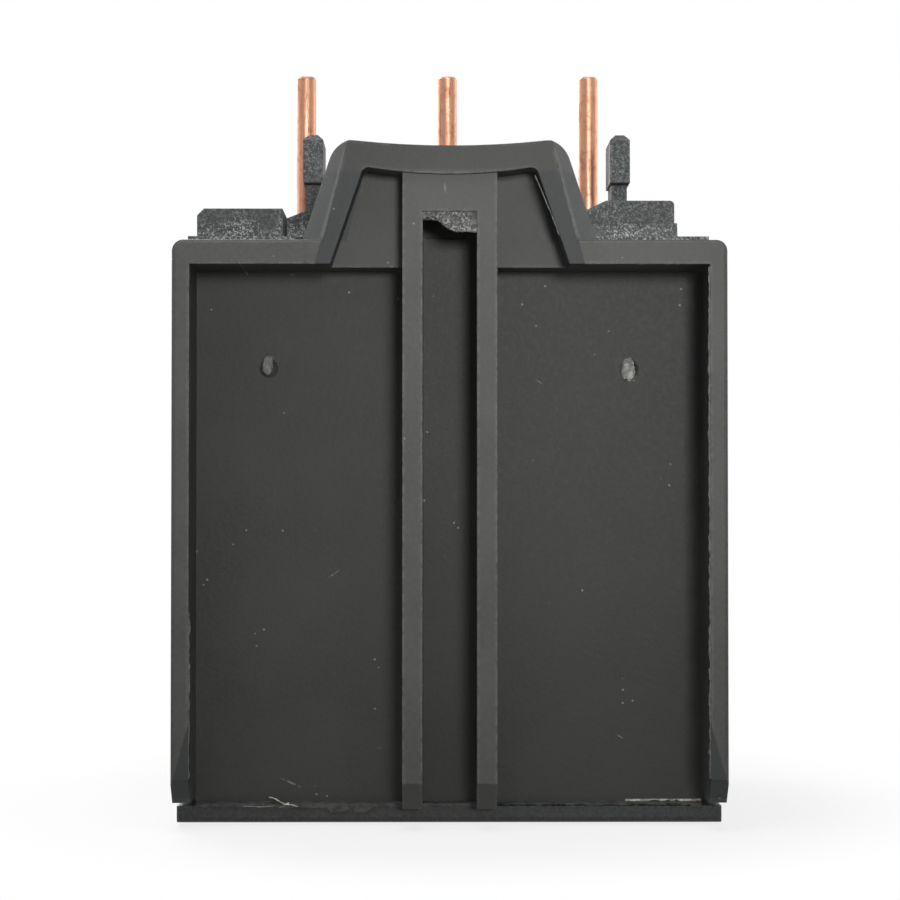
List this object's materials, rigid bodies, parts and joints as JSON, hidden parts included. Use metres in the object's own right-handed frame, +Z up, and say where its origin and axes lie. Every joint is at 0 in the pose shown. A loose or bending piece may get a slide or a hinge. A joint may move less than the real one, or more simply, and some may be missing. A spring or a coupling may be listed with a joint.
{
  "type": "thermal overload relay",
  "caption": "Plug-in thermal overload relay with pins, latch hooks, screw terminals, setting dial, reset and stop buttons, trip mechanism.",
  "frame": {"origin": "middle of the base plane, half way across the width and half way between the rear frame and the button heads", "axes": "+Z up along the contact pins, +X to the right seen from the front, +Y to the rear face, -Y to the control face"},
  "size_m": [0.045, 0.07, 0.0665],
  "materials": {
    "housing_plastic": "fine grained moulded charcoal",
    "cover_plastic": "satin moulded charcoal",
    "front_plastic": "fine grained moulded charcoal",
    "clear_plastic": "clear moulded plastic",
    "dial_plastic": "white moulded plastic",
    "tag_plastic": "blank white plastic",
    "blue_plastic": "blue moulded plastic",
    "red_plastic": "red moulded plastic",
    "orange_plastic": "orange moulded plastic",
    "natural_plastic": "natural moulded plastic",
    "copper": "bare drawn copper",
    "plated_steel": "zinc plated steel",
    "bimetal": "rolled bimetal",
    "heater_ribbon": "resistance ribbon on a glass-fibre sleeve",
    "spring_steel": "spring steel",
    "contact_bronze": "spring bronze with silver contacts"
  },
  "bodies": {
    "case": {"rear_cover": "cover_plastic", "main_housing": "housing_plastic", "terminal_housing": "housing_plastic", "front_cover": "front_plastic", "marker_tag": "tag_plastic", "lever_pin": "plated_steel", "rocker_pin": "plated_steel", "setting_pin": "plated_steel", "spring_seat": "natural_plastic", "reset_spring": "spring_steel", "stop_spring": "spring_steel", "contact_pin_1": "copper", "contact_pin_2": "copper", "contact_pin_3": "copper", "output_bar_1": "copper", "output_bar_2": "copper", "output_bar_3": "copper", "aux_plate_97": "contact_bronze", "aux_plate_98": "contact_bronze", "aux_plate_95": "contact_bronze", "aux_plate_96": "contact_bronze"},
    "lid": {"clear_cover": "clear_plastic"},
    "dial": {"setting_dial": "dial_plastic"},
    "set_lever": {"setting_lever": "natural_plastic"},
    "selector": {"reset_selector": "natural_plastic"},
    "reset": {"reset_button": "blue_plastic"},
    "stop": {"stop_button": "red_plastic"},
    "test": {"test_button": "natural_plastic"},
    "push_slide": {"main_slide": "natural_plastic"},
    "diff_slide": {"differential_slide": "natural_plastic"},
    "lever": {"trip_lever": "natural_plastic", "compensation_strip": "bimetal"},
    "rocker": {"trip_rocker": "natural_plastic"},
    "open_blade": {"open_contact_blade": "contact_bronze"},
    "closed_blade": {"closed_contact_blade": "contact_bronze"},
    "flag": {"trip_flag": "orange_plastic"},
    "strip_1": {"bimetal_strip_1": "bimetal", "heater_winding_1": "heater_ribbon"},
    "strip_2": {"bimetal_strip_2": "bimetal", "heater_winding_2": "heater_ribbon"},
    "strip_3": {"bimetal_strip_3": "bimetal", "heater_winding_3": "heater_ribbon"},
    "main_clamp_1": {"main_clamp_1": "plated_steel"},
    "main_screw_1": {"main_screw_1": "plated_steel"},
    "main_clamp_2": {"main_clamp_2": "plated_steel"},
    "main_screw_2": {"main_screw_2": "plated_steel"},
    "main_clamp_3": {"main_clamp_3": "plated_steel"},
    "main_screw_3": {"main_screw_3": "plated_steel"},
    "aux_clamp_97": {"aux_clamp_97": "plated_steel"},
    "aux_screw_97": {"aux_screw_97": "plated_steel"},
    "aux_clamp_98": {"aux_clamp_98": "plated_steel"},
    "aux_screw_98": {"aux_screw_98": "plated_steel"},
    "aux_clamp_95": {"aux_clamp_95": "plated_steel"},
    "aux_screw_95": {"aux_screw_95": "plated_steel"},
    "aux_clamp_96": {"aux_clamp_96": "plated_steel"},
    "aux_screw_96": {"aux_screw_96": "plated_steel"}
  },
  "joints": [
    {"name": "lid_swing", "type": "hinge", "parent": "case", "child": "lid", "pos_m": [-0.02155, -0.0337, 0.03965], "axis": [0, 0, -1], "range_deg": [0, 110]},
    {"name": "dial_turn", "type": "hinge", "parent": "case", "child": "dial", "pos_m": [-0.0098, -0.0328, 0.0396], "axis": [0, 1, 0], "range_deg": [0, 270]},
    {"name": "set_lever_tilt", "type": "hinge", "parent": "case", "child": "set_lever", "pos_m": [-0.0182, -0.0175, 0.0332], "axis": [0, -1, 0], "range_deg": [0, 12]},
    {"name": "selector_turn", "type": "hinge", "parent": "case", "child": "selector", "pos_m": [0.0094, -0.0328, 0.042], "axis": [0, 1, 0], "range_deg": [0, 90]},
    {"name": "reset_press", "type": "slide", "parent": "selector", "child": "reset", "axis": [0, 1, 0], "range_m": [0, 0.0022], "stiffness_N_per_m": 400, "springref_m": -0.002, "deforming": ["reset_spring"]},
    {"name": "stop_press", "type": "slide", "parent": "case", "child": "stop", "axis": [0, 1, 0], "range_m": [0, 0.002], "stiffness_N_per_m": 400, "springref_m": -0.002, "deforming": ["stop_spring"]},
    {"name": "test_press", "type": "slide", "parent": "case", "child": "test", "axis": [0, 1, 0], "range_m": [0, 0.0015], "stiffness_N_per_m": 300, "springref_m": -0.002},
    {"name": "slide_push", "type": "slide", "parent": "case", "child": "push_slide", "axis": [1, 0, 0], "range_m": [0, 0.0015], "stiffness_N_per_m": 600, "springref_m": -0.001},
    {"name": "diff_slide_push", "type": "slide", "parent": "case", "child": "diff_slide", "axis": [1, 0, 0], "range_m": [0, 0.00152]},
    {"name": "strip_bend_1", "type": "hinge", "parent": "case", "child": "strip_1", "pos_m": [-0.0132, 0.01, 0.014], "axis": [0, 1, 0], "range_deg": [0, 3.2]},
    {"name": "strip_bend_2", "type": "hinge", "parent": "case", "child": "strip_2", "pos_m": [0, 0.01, 0.014], "axis": [0, 1, 0], "range_deg": [0, 3.2]},
    {"name": "strip_bend_3", "type": "hinge", "parent": "case", "child": "strip_3", "pos_m": [0.0132, 0.01, 0.014], "axis": [0, 1, 0], "range_deg": [0, 3.2]},
    {"name": "lever_turn", "type": "hinge", "parent": "case", "child": "lever", "pos_m": [0.0119, -0.0096, 0.033], "axis": [0, 1, 0], "range_deg": [0, 11]},
    {"name": "rocker_turn", "type": "hinge", "parent": "case", "child": "rocker", "pos_m": [0, -0.0126, 0.035], "axis": [0, -1, 0], "range_deg": [0, 4.1]},
    {"name": "open_blade_bend", "type": "hinge", "parent": "case", "child": "open_blade", "pos_m": [-0.01385, -0.0141, 0.0312], "axis": [0, 1, 0], "range_deg": [0, 5.7]},
    {"name": "closed_blade_bend", "type": "hinge", "parent": "case", "child": "closed_blade", "pos_m": [0.01575, -0.0141, 0.0312], "axis": [0, 1, 0], "range_deg": [0, 4.6]},
    {"name": "flag_rise", "type": "slide", "parent": "case", "child": "flag", "axis": [0, 0, 1], "range_m": [0, 0.00122]},
    {"name": "main_clamp_lift_1", "type": "slide", "parent": "case", "child": "main_clamp_1", "axis": [0, -1, 0], "range_m": [0, 0.003]},
    {"name": "main_screw_turn_1", "type": "hinge", "parent": "main_clamp_1", "child": "main_screw_1", "pos_m": [-0.014, -0.0125, 0.0076], "axis": [0, -1, 0], "range_deg": [0, 1543]},
    {"name": "main_clamp_lift_2", "type": "slide", "parent": "case", "child": "main_clamp_2", "axis": [0, -1, 0], "range_m": [0, 0.003]},
    {"name": "main_screw_turn_2", "type": "hinge", "parent": "main_clamp_2", "child": "main_screw_2", "pos_m": [0, -0.0125, 0.0076], "axis": [0, -1, 0], "range_deg": [0, 1543]},
    {"name": "main_clamp_lift_3", "type": "slide", "parent": "case", "child": "main_clamp_3", "axis": [0, -1, 0], "range_m": [0, 0.003]},
    {"name": "main_screw_turn_3", "type": "hinge", "parent": "main_clamp_3", "child": "main_screw_3", "pos_m": [0.014, -0.0125, 0.0076], "axis": [0, -1, 0], "range_deg": [0, 1543]},
    {"name": "aux_clamp_lift_97", "type": "slide", "parent": "case", "child": "aux_clamp_97", "axis": [0, -1, 0], "range_m": [0, 0.0022]},
    {"name": "aux_screw_turn_97", "type": "hinge", "parent": "aux_clamp_97", "child": "aux_screw_97", "pos_m": [-0.01575, -0.0203, 0.0196], "axis": [0, -1, 0], "range_deg": [0, 1320.5]},
    {"name": "aux_clamp_lift_98", "type": "slide", "parent": "case", "child": "aux_clamp_98", "axis": [0, -1, 0], "range_m": [0, 0.0022]},
    {"name": "aux_screw_turn_98", "type": "hinge", "parent": "aux_clamp_98", "child": "aux_screw_98", "pos_m": [-0.00525, -0.0203, 0.0196], "axis": [0, -1, 0], "range_deg": [0, 1320.5]},
    {"name": "aux_clamp_lift_95", "type": "slide", "parent": "case", "child": "aux_clamp_95", "axis": [0, -1, 0], "range_m": [0, 0.0022]},
    {"name": "aux_screw_turn_95", "type": "hinge", "parent": "aux_clamp_95", "child": "aux_screw_95", "pos_m": [0.00525, -0.0203, 0.0196], "axis": [0, -1, 0], "range_deg": [0, 1320.5]},
    {"name": "aux_clamp_lift_96", "type": "slide", "parent": "case", "child": "aux_clamp_96", "axis": [0, -1, 0], "range_m": [0, 0.0022]},
    {"name": "aux_screw_turn_96", "type": "hinge", "parent": "aux_clamp_96", "child": "aux_screw_96", "pos_m": [0.01575, -0.0203, 0.0196], "axis": [0, -1, 0], "range_deg": [0, 1320.5]}
  ],
  "couplings": [
    {"joint": "set_lever_tilt", "follows": "dial_turn", "ratio": 0.042441},
    {"joint": "diff_slide_push", "follows": "slide_push", "ratio": 1},
    {"joint": "strip_bend_1", "follows": "slide_push", "rad_per_m": 36.232},
    {"joint": "strip_bend_2", "follows": "slide_push", "rad_per_m": 36.232},
    {"joint": "strip_bend_3", "follows": "slide_push", "rad_per_m": 36.232},
    {"joint": "lever_turn", "follows": "slide_push", "rad_per_m": 125},
    {"joint": "rocker_turn", "follows": "slide_push", "rad_per_m": 46.542},
    {"joint": "open_blade_bend", "follows": "slide_push", "rad_per_m": 65.159},
    {"joint": "closed_blade_bend", "follows": "slide_push", "rad_per_m": 51.778},
    {"joint": "flag_rise", "follows": "slide_push", "ratio": 0.8},
    {"joint": "main_screw_turn_1", "follows": "main_clamp_lift_1", "rad_per_m": 8976},
    {"joint": "main_screw_turn_2", "follows": "main_clamp_lift_2", "rad_per_m": 8976},
    {"joint": "main_screw_turn_3", "follows": "main_clamp_lift_3", "rad_per_m": 8976},
    {"joint": "aux_screw_turn_97", "follows": "aux_clamp_lift_97", "rad_per_m": 10472},
    {"joint": "aux_screw_turn_98", "follows": "aux_clamp_lift_98", "rad_per_m": 10472},
    {"joint": "aux_screw_turn_95", "follows": "aux_clamp_lift_95", "rad_per_m": 10472},
    {"joint": "aux_screw_turn_96", "follows": "aux_clamp_lift_96", "rad_per_m": 10472}
  ]
}
